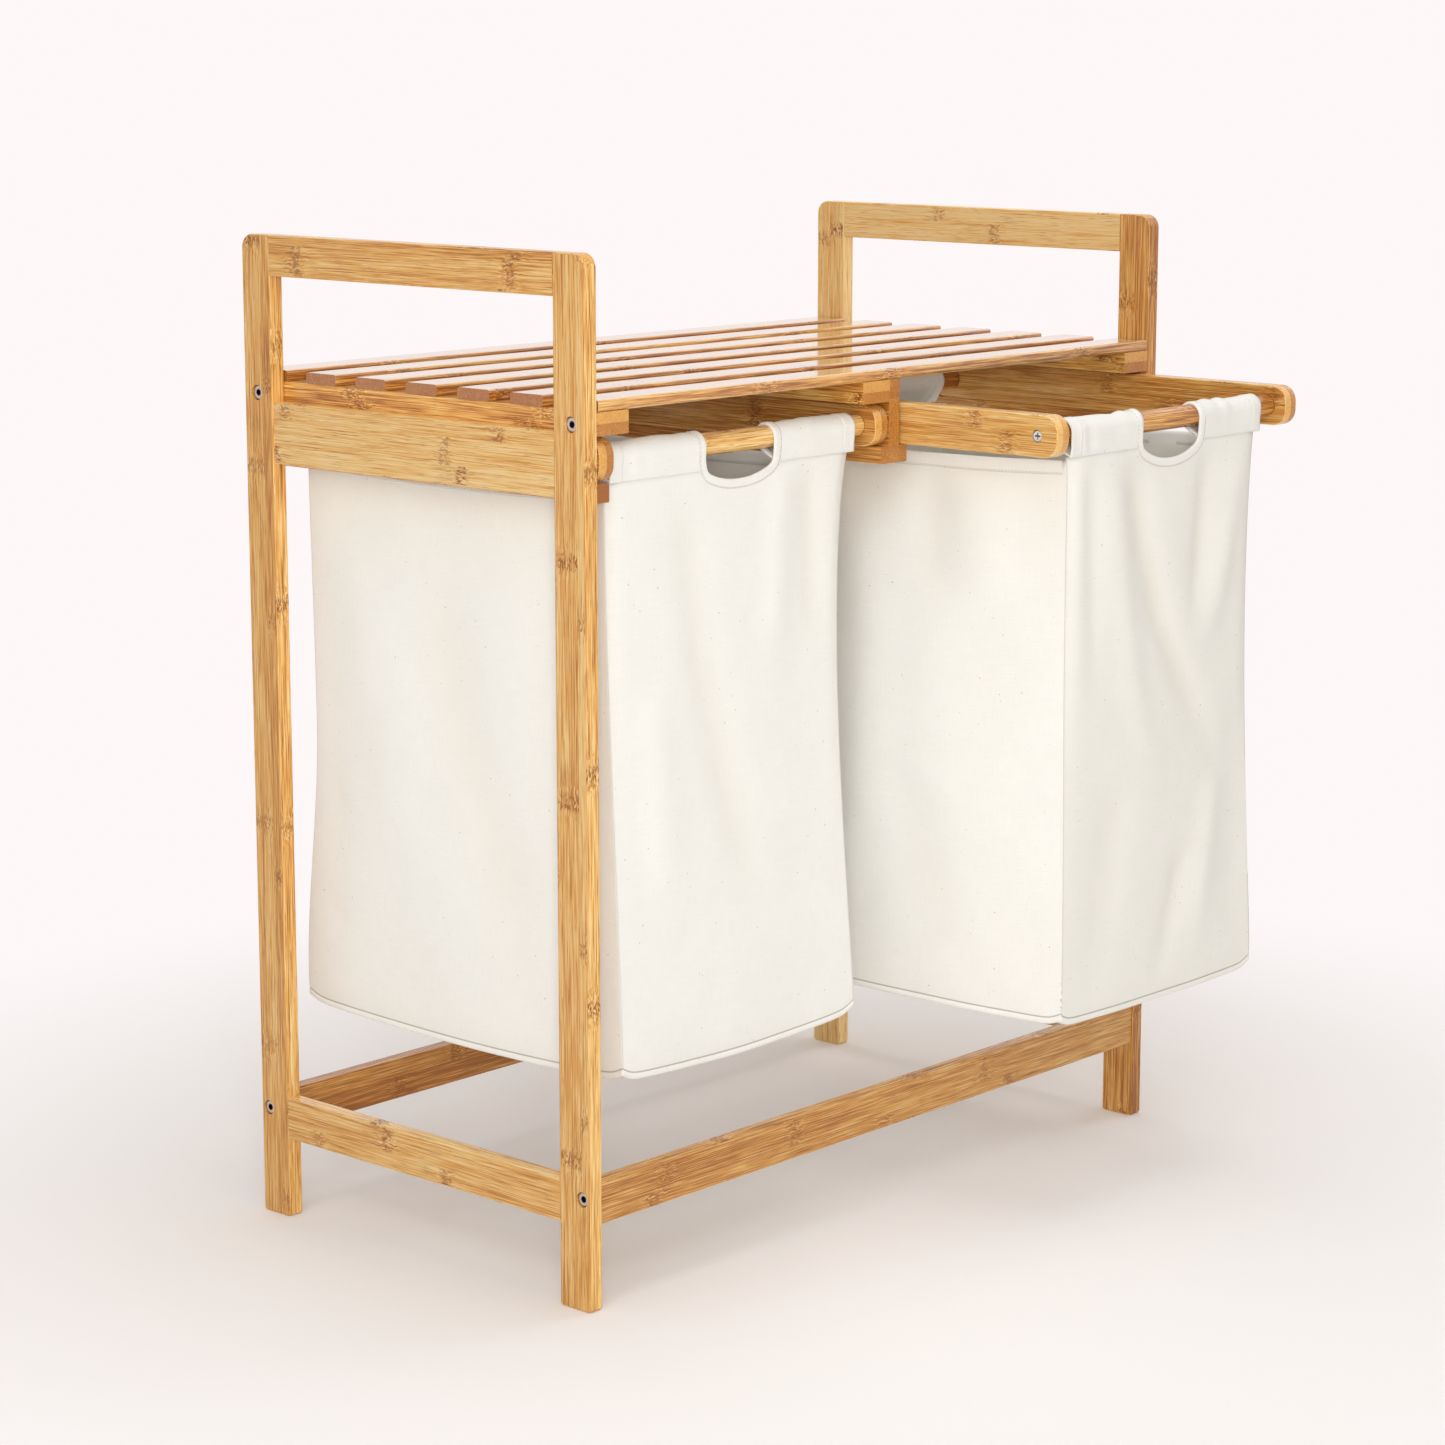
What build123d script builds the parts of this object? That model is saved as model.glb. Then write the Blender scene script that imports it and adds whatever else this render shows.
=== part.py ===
from build123d import *
import os

# Bamboo laundry stand: two side frames with carrying handles, a slatted shelf, and two bag carriers
# that pull out to the front on wooden ledgers, each with a canvas bag hung on two dowels.
# Millimetres, +Z up, front towards -Y. The origin lies on the floor under the middle of the whole
# object, with the left carrier pushed in and the right one drawn out.

# Frame, overall
frame_width = 640.0
frame_depth = 340.0
frame_height = 725.0

# Side frames
post_thickness = 12.0
post_width = 29.0
post_top_radius = 10.0
foot_radius = 3.0
edge_ease = 1.0
handle_rail_height = 29.0
apron_height = 44.0
apron_drop = 66.0
apron_recess = 1.5
lower_rail_height = 31.0
lower_rail_bottom = 60.5

# Stretchers between the side frames
stretcher_height = 31.0
stretcher_thickness = 12.0
stretcher_bottom = 61.0
stretcher_recess = 1.5

# Shelf
shelf_drop = 96.5
slat_count = 7
slat_width = 31.0
slat_thickness = 8.0
slat_ease = 2.0
slat_end_gap = 1.0
batten_width = 30.0
batten_height = 16.0

# Centre board and the ledgers that the carriers slide on
board_thickness = 12.0
ledger_height = 12.5
side_ledger_width = 12.0
centre_ledger_width = 8.5
ledger_setback = 1.0

# Bag carriers
rail_thickness = 14.0
rail_height = 30.0
rail_corner_radius = 12.0
rail_side_gap = 2.0
rail_top_gap = 1.8
running_gap = 0.3
dowel_diameter = 16.0
dowel_inset = 18.0
dowel_seat = 4.0
drawn_out = 140.0

# Canvas bags
bag_wall = 3.0
bag_top_width = 240.0
bag_bottom_width = 252.0
bag_bottom_depth = 327.0
bag_bottom = 152.2
bag_side_drop = 21.0
sleeve_wall = 3.2
sleeve_gap = 0.3
sleeve_end_inset = 2.0
seam_gap = 0.2
hand_cut_radius = 32.0
hand_cut_drop = 23.0

# Frame bolts and their threaded inserts
bolt_head_diameter = 10.0
bolt_head_height = 4.0
bolt_recess = 1.5
bolt_diameter = 6.0
bolt_length = 26.0
bolt_socket_width = 4.0
bolt_socket_depth = 2.5
insert_diameter = 8.0
insert_length = 15.0
upper_bolt_from_edge = 13.0
lower_bolt_height = 19.4

# Wooden pins
pin_diameter = 6.0
pin_depth = 12.0
stretcher_pin_depth = 18.0
stretcher_pin_in_post = 6.0
stretcher_pin_height = 7.5
ledger_pin_diameter = 5.0
ledger_pin_depth = 5.0
ledger_pin_drop = 4.5
ledger_pin_spacing = 100.0
ledger_pin_stagger = 30.0

# Countersunk wood screws
screw_diameter = 3.5
screw_head_diameter = 7.0
screw_head_height = 2.2
slat_screw_bite = 4.5
slat_screw_inset = 6.0
outer_screw_shift = 9.0
board_screw_bite = 18.0

# Carrier screws
carrier_screw_diameter = 4.5
carrier_screw_head_diameter = 8.0
carrier_screw_head_height = 3.0
carrier_screw_recess = 1.0
carrier_screw_bite = 26.0
cross_length = 4.4
cross_width = 1.1
cross_depth = 1.6

# Clearances of fasteners in their holes
hole_gap = 0.1
head_gap = 0.5

# Frame planes
half_width = frame_width / 2
half_depth = frame_depth / 2
inner_x = half_width - post_thickness
post_inner_y = half_depth - post_width
apron_face = half_width - apron_recess
stretcher_y = half_depth - stretcher_recess - stretcher_thickness / 2

# Levels, from the shelf down to the ledgers
shelf_top = frame_height - shelf_drop
apron_bottom = shelf_top - apron_drop
slat_bottom = shelf_top - slat_thickness
batten_bottom = slat_bottom - batten_height
batten_middle = (slat_bottom + batten_bottom) / 2
rail_top = batten_bottom - rail_top_gap
rail_bottom = rail_top - rail_height
dowel_z = (rail_top + rail_bottom) / 2
ledger_top = rail_bottom - running_gap
ledger_bottom = ledger_top - ledger_height

# Shelf and bays
slat_pitch = (frame_depth - slat_width) / (slat_count - 1)
slat_half_length = inner_x - slat_end_gap
board_half = board_thickness / 2
ledger_half_length = half_depth - ledger_setback

# Carrier, measured from its own middle
carrier_outer = inner_x - rail_side_gap
carrier_inner = board_half + rail_side_gap
carrier_middle = (carrier_outer + carrier_inner) / 2
carrier_half = (carrier_outer - carrier_inner) / 2
rail_face = carrier_half - rail_thickness
dowel_y = half_depth - dowel_inset
dowel_radius = dowel_diameter / 2
sleeve_bore = dowel_radius + sleeve_gap
sleeve_radius = sleeve_bore + sleeve_wall

# Bag levels
panel_top = dowel_z - sleeve_radius - seam_gap
side_panel_top = dowel_z - bag_side_drop
hand_cut_z = dowel_z - hand_cut_drop + hand_cut_radius

# The frame stands back by half of the drawn-out length, which puts the origin under the middle
frame_y = drawn_out / 2

sides = {"left": -1, "right": 1}
ends = {"front": -1, "rear": 1}
nodes = {}


def span(sign, near, far):
    """Low and high value of a stretch that lies on one side of the middle."""
    return (min(sign * near, sign * far), max(sign * near, sign * far))


def block(x, y, z):
    """Box from its low and high values along each axis."""
    middle = ((x[0] + x[1]) / 2, (y[0] + y[1]) / 2, (z[0] + z[1]) / 2)
    return Pos(*middle) * Box(x[1] - x[0], y[1] - y[0], z[1] - z[0])


def bar(x, y, z, axis, radius):
    """Box with its long edges, which run along one axis, rounded."""
    body = block(x, y, z)
    return fillet(body.edges().filter_by(axis), radius)


def rod(start, direction, radius, length):
    """Cylinder from a point, along a direction."""
    body = Cylinder(radius, length, align=(Align.CENTER, Align.CENTER, Align.MIN))
    return Plane(origin=start, z_dir=direction) * body


def ease_outline(body, axis):
    """Round the rim of the two flat faces that look along an axis."""
    return fillet(body.faces().filter_by(axis).edges(), edge_ease)


# Places of the fasteners

def upper_bolt(side, end):
    """Point on a post's outer face where the bolt into the shelf batten starts."""
    return (side * half_width, end * (half_depth - upper_bolt_from_edge), batten_middle)


def lower_bolt(side, end):
    """Point on a post's outer face where the bolt into the stretcher starts."""
    return (side * half_width, end * stretcher_y, stretcher_bottom + lower_bolt_height)


def side_frame_joints(side):
    """Middle X, bottom and height of the three rails that are pinned between two posts."""
    post_x = side * (half_width + inner_x) / 2
    apron_x = side * (apron_face + inner_x) / 2
    return {
        "handle_rail": (post_x, frame_height - handle_rail_height, handle_rail_height),
        "apron": (apron_x, apron_bottom, apron_height),
        "lower_rail": (post_x, lower_rail_bottom, lower_rail_height),
    }


def slat_centres():
    """Y of the middle of each slat, from the front to the rear."""
    return [(i - (slat_count - 1) / 2) * slat_pitch for i in range(slat_count)]


def slat_screw_rows():
    """Y of the screws along a batten. The outer ones stand clear of the frame bolts."""
    rows = slat_centres()
    rows[0] += outer_screw_shift
    rows[-1] -= outer_screw_shift
    return rows


def board_screw_rows():
    """Y of the screws through the centre board, in the middle of a gap between slats."""
    return [-1.5 * slat_pitch, 1.5 * slat_pitch]


# Fasteners

def frame_bolt(place, side, gap=0.0):
    """Hex-socket bolt, pointing inwards. A gap makes the hole that it goes into."""
    x, y, z = place
    inward = (-side, 0, 0)
    head_radius = bolt_head_diameter / 2
    shank_radius = bolt_diameter / 2
    seat = bolt_recess + bolt_head_height
    if gap > 0:
        counterbore = rod(place, inward, head_radius + head_gap, seat)
        return counterbore + rod(place, inward, shank_radius + gap, seat + bolt_length + gap)
    top = (x - side * bolt_recess, y, z)
    under = (x - side * seat, y, z)
    body = rod(top, inward, head_radius, bolt_head_height) + rod(under, inward, shank_radius, bolt_length)
    hexagon = RegularPolygon(bolt_socket_width / 2, 6, major_radius=False)
    socket = extrude(Plane(origin=top, z_dir=inward) * hexagon, bolt_socket_depth)
    return body - socket


def threaded_insert(place, side, gap=0.0):
    """Threaded tube behind the post. A gap makes its hole."""
    start = (side * inner_x, place[1], place[2])
    inward = (-side, 0, 0)
    outside = rod(start, inward, insert_diameter / 2 + gap, insert_length + gap)
    if gap > 0:
        return outside
    return outside - rod(start, inward, bolt_diameter / 2 + hole_gap, insert_length)


def wood_screw(start, direction, length, gap=0.0):
    """Countersunk screw from its head's face to its tip. A gap makes its hole."""
    low = (Align.CENTER, Align.CENTER, Align.MIN)
    head = Cone(screw_head_diameter / 2 + gap, screw_diameter / 2 + gap, screw_head_height, align=low)
    shank = Cylinder(screw_diameter / 2 + gap, length + gap, align=low)
    return Plane(origin=start, z_dir=direction) * (head + shank)


def joint_pins(side, rail, end, gap=0.0):
    """The two pins between one rail's end and its post. A gap makes their holes."""
    x, bottom, height = side_frame_joints(side)[rail]
    half_length = pin_depth + gap
    pins = []
    for share in (1 / 4, 3 / 4):
        start = (x, end * post_inner_y - half_length, bottom + height * share)
        pins.append(rod(start, (0, 1, 0), pin_diameter / 2 + gap, 2 * half_length))
    return pins


def stretcher_pin(side, end, gap=0.0):
    """Pin below a stretcher's bolt. A gap makes its hole."""
    start_x = side * (inner_x - stretcher_pin_depth - gap)
    start = (start_x, end * stretcher_y, stretcher_bottom + stretcher_pin_height)
    length = stretcher_pin_depth + stretcher_pin_in_post + 2 * gap
    return rod(start, (side, 0, 0), pin_diameter / 2 + gap, length)


def slat_screw(batten, y, gap=0.0):
    """Screw from below through a batten into a slat. A gap makes its hole."""
    start = (batten_screw_x[batten], y, batten_bottom)
    return wood_screw(start, (0, 0, 1), batten_height + slat_screw_bite, gap)


def ledger_pins(joint_x, shift, gap=0.0):
    """Pins along a ledger's joint with what holds it. A gap makes their holes."""
    half_length = ledger_pin_depth + gap
    radius = ledger_pin_diameter / 2 + gap
    z = ledger_top - ledger_pin_drop
    rows = [shift + i * ledger_pin_spacing for i in (-1, 0, 1)]
    return [rod((joint_x - half_length, y, z), (1, 0, 0), radius, 2 * half_length) for y in rows]


def side_ledger_pins(side, gap=0.0):
    """Pins between one side ledger and its apron. A gap makes their holes."""
    return ledger_pins(side * inner_x, 0, gap)


def centre_ledger_pins(side, gap=0.0):
    """Pins between one centre ledger and the board, staggered from the other side's."""
    return ledger_pins(side * board_half, side * ledger_pin_stagger / 2, gap)


def board_screws(gap=0.0):
    """Screws through the centre board into the middle batten. A gap makes their holes."""
    length = board_thickness + board_screw_bite
    return [wood_screw((board_half, y, batten_middle), (-1, 0, 0), length, gap) for y in board_screw_rows()]


# Frame

batten_span = {
    "left": (-inner_x, -inner_x + batten_width),
    "middle": (-board_half - batten_width, -board_half),
    "right": (inner_x - batten_width, inner_x),
}
batten_screw_x = {
    "left": batten_span["left"][1] - slat_screw_inset,
    "middle": batten_span["middle"][0] + slat_screw_inset,
    "right": batten_span["right"][0] + slat_screw_inset,
}


def post(side, end):
    """Upright with a rounded outer top corner, eased foot, bolt holes and pin holes."""
    body = block(span(side, inner_x, half_width), span(end, post_inner_y, half_depth), (0, frame_height))
    across = body.edges().filter_by(Axis.X)
    top_edges = across.group_by(Axis.Z)[-1].sort_by(Axis.Y)
    outer_top = top_edges[0] if end < 0 else top_edges[-1]
    body = fillet([outer_top], post_top_radius)
    feet = body.edges().filter_by(Axis.X).group_by(Axis.Z)[0]
    body = fillet(feet, foot_radius)
    body = ease_outline(body, Axis.X)
    holes = [frame_bolt(place, side, hole_gap) for place in (upper_bolt(side, end), lower_bolt(side, end))]
    for rail in side_frame_joints(side):
        holes += joint_pins(side, rail, end, hole_gap)
    holes.append(stretcher_pin(side, end, hole_gap))
    return body - holes


def side_rail(side, rail, outer):
    """Rail between the two posts of a side frame, with its pin holes."""
    x, bottom, height = side_frame_joints(side)[rail]
    y = (-post_inner_y, post_inner_y)
    body = bar(span(side, inner_x, outer), y, (bottom, bottom + height), Axis.Y, edge_ease)
    holes = [hole for end in ends.values() for hole in joint_pins(side, rail, end, hole_gap)]
    return body - holes


def apron(side):
    """Side apron with the holes of its ledger's pins."""
    return side_rail(side, "apron", apron_face) - side_ledger_pins(side, hole_gap)


def stretcher(end):
    """Rail between the two side frames, with holes for bolts, inserts and pins in its ends."""
    y_low = end * stretcher_y - stretcher_thickness / 2
    y = (y_low, y_low + stretcher_thickness)
    z = (stretcher_bottom, stretcher_bottom + stretcher_height)
    body = bar((-inner_x, inner_x), y, z, Axis.X, edge_ease)
    holes = []
    for side in sides.values():
        place = lower_bolt(side, end)
        holes.append(frame_bolt(place, side, hole_gap))
        holes.append(threaded_insert(place, side, hole_gap))
        holes.append(stretcher_pin(side, end, hole_gap))
    return body - holes


def slat(y_middle, screw_y):
    """Shelf slat with rounded edges and blind screw holes."""
    y = (y_middle - slat_width / 2, y_middle + slat_width / 2)
    body = bar((-slat_half_length, slat_half_length), y, (slat_bottom, shelf_top), Axis.X, slat_ease)
    return body - [slat_screw(batten, screw_y, hole_gap) for batten in batten_span]


def shelf_batten(name):
    """Batten under the slats, with its screw holes and, at the ends, the frame bolts' holes."""
    body = bar(batten_span[name], (-half_depth, half_depth), (batten_bottom, slat_bottom), Axis.Y, edge_ease)
    holes = [slat_screw(name, y, hole_gap) for y in slat_screw_rows()]
    if name in sides:
        for end in ends.values():
            place = upper_bolt(sides[name], end)
            holes.append(frame_bolt(place, sides[name], hole_gap))
            holes.append(threaded_insert(place, sides[name], hole_gap))
    else:
        holes += board_screws(hole_gap)
    return body - holes


def centre_board():
    """Board between the two bays, from the slats down to the underside of the ledgers."""
    y = (-ledger_half_length, ledger_half_length)
    body = bar((-board_half, board_half), y, (ledger_bottom, slat_bottom), Axis.Y, edge_ease)
    holes = board_screws(hole_gap)
    for side in sides.values():
        holes += centre_ledger_pins(side, hole_gap)
    return body - holes


def ledger(x, pin_holes):
    """Ledger that a carrier rail slides on."""
    y = (-ledger_half_length, ledger_half_length)
    return bar(x, y, (ledger_bottom, ledger_top), Axis.Y, edge_ease) - pin_holes


# Bag carrier, built about its own middle

def carrier_screw(side, end, gap=0.0):
    """Cross-recess screw through a rail into a dowel's end. A gap makes its hole."""
    face = (side * carrier_half, end * dowel_y, dowel_z)
    inward = (-side, 0, 0)
    head_radius = carrier_screw_head_diameter / 2
    shank_radius = carrier_screw_diameter / 2
    seat = carrier_screw_recess + carrier_screw_head_height
    shank_end = rail_thickness - dowel_seat + carrier_screw_bite
    if gap > 0:
        counterbore = rod(face, inward, head_radius + head_gap, seat)
        return counterbore + rod(face, inward, shank_radius + gap, shank_end + gap)
    top = (face[0] - side * carrier_screw_recess, face[1], face[2])
    body = rod(top, inward, head_radius, carrier_screw_head_height)
    body += rod(top, inward, shank_radius, shank_end - carrier_screw_recess)
    cross = Rectangle(cross_length, cross_width) + Rectangle(cross_width, cross_length)
    return body - extrude(Plane(origin=top, z_dir=inward) * cross, cross_depth)


def carrier_rail(side):
    """Carrier rail with rounded corners, dowel seats inside and counterbored screw holes outside."""
    x = span(side, rail_face, carrier_half)
    body = bar(x, (-half_depth, half_depth), (rail_bottom, rail_top), Axis.X, rail_corner_radius)
    body = ease_outline(body, Axis.X)
    holes = []
    for end in ends.values():
        inner = (side * rail_face, end * dowel_y, dowel_z)
        holes.append(rod(inner, (side, 0, 0), dowel_radius + hole_gap, dowel_seat))
        holes.append(carrier_screw(side, end, hole_gap))
    return body - holes


def carrier_dowel(end):
    """Round dowel between the two rails, with a screw hole in each end."""
    half_length = rail_face + dowel_seat
    body = rod((-half_length, end * dowel_y, dowel_z), (1, 0, 0), dowel_radius, 2 * half_length)
    return body - [carrier_screw(side, end, hole_gap) for side in sides.values()]


# Canvas bag, built about the carrier's middle

def bag_half_width(z):
    """Half of the bag's outer width at a level."""
    share = (panel_top - z) / (panel_top - bag_bottom)
    return (bag_top_width + share * (bag_bottom_width - bag_top_width)) / 2


def bag_half_depth(z):
    """Half of the bag's outer depth at a level."""
    share = (panel_top - z) / (panel_top - bag_bottom)
    top_half = dowel_y + bag_wall / 2
    return top_half + share * (bag_bottom_depth / 2 - top_half)


def wall(low, high, x_at, y_at):
    """Straight-sided wall between two levels, from its X and Y stretches at each level."""
    sections = []
    for z in (low, high):
        x, y = x_at(z), y_at(z)
        outline = Rectangle(x[1] - x[0], y[1] - y[0])
        sections.append(Pos((x[0] + x[1]) / 2, (y[0] + y[1]) / 2, z) * outline)
    return loft(sections)


def bag_end_panel(end):
    """Front or rear panel, with the lower part of the round hand cut-out."""
    body = wall(
        bag_bottom,
        panel_top,
        lambda z: span(1, -bag_half_width(z), bag_half_width(z)),
        lambda z: span(end, bag_half_depth(z) - bag_wall, bag_half_depth(z)),
    )
    cut = rod((0, -frame_depth, hand_cut_z), (0, 1, 0), hand_cut_radius, 2 * frame_depth)
    return body - cut


def bag_side_panel(side):
    """Side panel between the front and rear panels."""
    return wall(
        bag_bottom,
        side_panel_top,
        lambda z: span(side, bag_half_width(z) - bag_wall, bag_half_width(z)),
        lambda z: span(1, bag_wall - bag_half_depth(z), bag_half_depth(z) - bag_wall),
    )


def bag_bottom_panel():
    """Bottom panel inside the four walls."""
    return wall(
        bag_bottom,
        bag_bottom + bag_wall,
        lambda z: span(1, bag_wall - bag_half_width(z), bag_half_width(z) - bag_wall),
        lambda z: span(1, bag_wall - bag_half_depth(z), bag_half_depth(z) - bag_wall),
    )


def bag_sleeves(end):
    """The two sleeves that hang on one dowel, parted by the hand cut-out."""
    outer_end = bag_top_width / 2 - sleeve_end_inset
    length = outer_end - hand_cut_radius
    tubes = []
    for side in sides.values():
        start = (side * hand_cut_radius, end * dowel_y, dowel_z)
        tube = rod(start, (side, 0, 0), sleeve_radius, length)
        tubes.append(tube - rod(start, (side, 0, 0), sleeve_bore, length))
    return tubes


def add(name, solids, place):
    """Keep a node: one solid, or a group of separate solids."""
    group = solids if isinstance(solids, list) else [solids]
    moved = [place * solid for solid in group]
    nodes[name] = moved[0] if len(moved) == 1 else Compound(children=moved)


def build_frame():
    place = Pos(0, frame_y, 0)
    bolts = []
    inserts = []
    foot_pins = []
    bearing_pins = []
    for side_name, side in sides.items():
        frame_pins = []
        for end_name, end in ends.items():
            add(f"{side_name}_{end_name}_post", post(side, end), place)
            for spot in (upper_bolt(side, end), lower_bolt(side, end)):
                bolts.append(frame_bolt(spot, side))
                inserts.append(threaded_insert(spot, side))
            for rail in side_frame_joints(side):
                frame_pins += joint_pins(side, rail, end)
            foot_pins.append(stretcher_pin(side, end))
        add(f"{side_name}_frame_pins", frame_pins, place)
        add(f"{side_name}_handle_rail", side_rail(side, "handle_rail", half_width), place)
        add(f"{side_name}_apron", apron(side), place)
        add(f"{side_name}_lower_rail", side_rail(side, "lower_rail", half_width), place)
        side_x = span(side, inner_x - side_ledger_width, inner_x)
        add(f"{side_name}_side_ledger", ledger(side_x, side_ledger_pins(side, hole_gap)), place)
        centre_x = span(side, board_half, board_half + centre_ledger_width)
        add(f"{side_name}_centre_ledger", ledger(centre_x, centre_ledger_pins(side, hole_gap)), place)
        bearing_pins += side_ledger_pins(side) + centre_ledger_pins(side)
    for end_name, end in ends.items():
        add(f"{end_name}_stretcher", stretcher(end), place)
    for number, (y_middle, screw_y) in enumerate(zip(slat_centres(), slat_screw_rows()), start=1):
        add(f"shelf_slat_{number}", slat(y_middle, screw_y), place)
    for name in batten_span:
        add(f"{name}_shelf_batten", shelf_batten(name), place)
    add("centre_board", centre_board(), place)
    add("frame_bolts", bolts, place)
    add("threaded_inserts", inserts, place)
    add("stretcher_pins", foot_pins, place)
    add("slat_screws", [slat_screw(name, y) for name in batten_span for y in slat_screw_rows()], place)
    add("ledger_pins", bearing_pins, place)
    add("board_screws", board_screws(), place)


def build_carrier(name, side, pulled):
    place = Pos(side * carrier_middle, frame_y - pulled, 0)
    for rail_name, rail_side in sides.items():
        add(f"{name}_carrier_{rail_name}_rail", carrier_rail(rail_side), place)
        add(f"{name}_bag_{rail_name}_panel", bag_side_panel(rail_side), place)
    for end_name, end in ends.items():
        add(f"{name}_carrier_{end_name}_dowel", carrier_dowel(end), place)
        add(f"{name}_bag_{end_name}_panel", bag_end_panel(end), place)
        add(f"{name}_bag_{end_name}_sleeves", bag_sleeves(end), place)
    screws = [carrier_screw(rail_side, end) for rail_side in sides.values() for end in ends.values()]
    add(f"{name}_carrier_screws", screws, place)
    add(f"{name}_bag_bottom", bag_bottom_panel(), place)


build_frame()
build_carrier("left", sides["left"], 0.0)
build_carrier("right", sides["right"], drawn_out)

os.makedirs("parts", exist_ok=True)
for node_name, shape in nodes.items():
    export_step(shape, f"parts/{node_name}.step")
print(len(nodes), "nodes")
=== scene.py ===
import bmesh
import bpy
import math
import numpy as np
from mathutils import Matrix, Vector


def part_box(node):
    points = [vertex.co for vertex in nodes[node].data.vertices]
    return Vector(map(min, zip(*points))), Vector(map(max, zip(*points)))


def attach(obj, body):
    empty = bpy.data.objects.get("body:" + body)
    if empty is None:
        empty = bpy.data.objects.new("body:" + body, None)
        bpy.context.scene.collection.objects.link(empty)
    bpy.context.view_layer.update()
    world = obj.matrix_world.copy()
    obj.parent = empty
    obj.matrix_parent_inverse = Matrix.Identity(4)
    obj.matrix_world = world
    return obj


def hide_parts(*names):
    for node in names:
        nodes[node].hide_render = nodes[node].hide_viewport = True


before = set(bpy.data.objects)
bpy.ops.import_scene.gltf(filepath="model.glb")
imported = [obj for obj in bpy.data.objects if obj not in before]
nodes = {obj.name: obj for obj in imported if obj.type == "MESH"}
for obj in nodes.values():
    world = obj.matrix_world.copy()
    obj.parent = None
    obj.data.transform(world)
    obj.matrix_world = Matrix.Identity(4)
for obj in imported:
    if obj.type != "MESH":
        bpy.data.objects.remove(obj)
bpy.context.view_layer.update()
MM = 0.001


def middle_of(*names):
    """Middle of the box round some CAD nodes at rest, in millimetres, to a tenth."""
    corners = np.array([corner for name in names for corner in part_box(name)])
    return np.round((corners.min(0) + corners.max(0)) / 2 / MM, 1)


# Node helpers

class Net:
    """Builds shader nodes. A value that is a socket is linked, and any other value is set."""

    def __init__(self, tree):
        self.tree = tree

    def give(self, socket, value):
        if isinstance(value, bpy.types.NodeSocket):
            self.tree.links.new(value, socket)
        else:
            socket.default_value = value

    def node(self, kind, inputs=None, **settings):
        made = self.tree.nodes.new(kind if kind.startswith("Node") else "ShaderNode" + kind)
        for name, value in settings.items():
            setattr(made, name, value)
        for key, value in (inputs or {}).items():
            self.give(made.inputs[key], value)
        return made

    def math(self, operation, *values):
        return self.node("Math", dict(enumerate(values)), operation=operation).outputs[0]

    def vector(self, operation, *values):
        return self.node("VectorMath", dict(enumerate(values)), operation=operation).outputs[0]

    def scaled(self, vector, factor):
        return self.node("VectorMath", {0: vector, "Scale": factor}, operation="SCALE").outputs[0]

    def length(self, vector):
        return self.node("VectorMath", {0: vector}, operation="LENGTH").outputs["Value"]

    def combine(self, x, y, z):
        return self.node("CombineXYZ", {0: x, 1: y, 2: z}).outputs[0]

    def separate(self, value):
        return self.node("SeparateXYZ", {0: value}).outputs

    def noise(self, vector, scale=1.0, detail=2.0, roughness=0.5):
        inputs = {"Vector": vector, "Scale": scale, "Detail": detail, "Roughness": roughness}
        return self.node("TexNoise", inputs).outputs["Fac"]

    def random(self, vector):
        """Three random values that belong to a whole-numbered vector."""
        made = self.node("TexWhiteNoise", {"Vector": vector}, noise_dimensions="3D")
        return self.separate(made.outputs["Color"])

    def fade(self, value, start, end):
        """Smooth step from 0 at start to 1 at end."""
        inputs = {"Value": value, "From Min": start, "From Max": end}
        return self.node("MapRange", inputs, interpolation_type="SMOOTHSTEP").outputs["Result"]

    def ramp(self, value, stops):
        made = self.node("ValToRGB", {"Fac": value})
        band = made.color_ramp.elements
        while len(band) < len(stops):
            band.new(0.5)
        for element, (place, colour) in zip(band, stops):
            element.position = place
            element.color = (*colour, 1.0)
        return made.outputs["Color"]

    def mix(self, factor, a, b):
        """Colour a, which goes over to colour b as the factor rises to 1."""
        a, b = ((*colour, 1.0) if isinstance(colour, tuple) else colour for colour in (a, b))
        return self.node("Mix", {0: factor, 6: a, 7: b}, data_type="RGBA").outputs[2]


def new_material(name):
    """Empty material: its net and its principled shader."""
    material = bpy.data.materials.new(name)
    material.use_nodes = True
    material.node_tree.nodes.clear()
    net = Net(material.node_tree)
    shader = net.node("BsdfPrincipled")
    net.node("OutputMaterial", {"Surface": shader.outputs[0]})
    return material, net, shader


def connect(net, shader, **sockets):
    named = {socket.name.lower().replace(" ", "_"): socket for socket in shader.inputs}
    for name, value in sockets.items():
        net.give(named[name], value)


def dress(node, material):
    data = nodes[node].data
    data.materials.clear()
    data.materials.append(material)


# Bamboo, in metres

STRIP = 0.0195
NODE_PITCH = 0.200
CANE_COLOURS = (
    (0.00, (0.345, 0.116, 0.020)),
    (0.25, (0.595, 0.255, 0.052)),
    (0.50, (0.800, 0.425, 0.108)),
    (0.75, (0.900, 0.580, 0.202)),
    (1.00, (0.945, 0.715, 0.350)),
)
NODE_BROWN = (0.250, 0.070, 0.008)
JOINT_BROWN = (0.300, 0.115, 0.030)
RING_BROWN = (0.120, 0.045, 0.014)
RING_EDGES = (0.0011, 0.0002)
COAT_ROUGHNESS = 0.08

# How far a face's normal has to turn towards an axis before it counts as facing that way
FACING = (0.45, 0.85)

# For each grain direction, the row-frame axes that lie along, across and through a piece
TURN = {"X": (0, 1, 2), "Y": (1, 2, 0), "Z": (2, 1, 0)}


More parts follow.
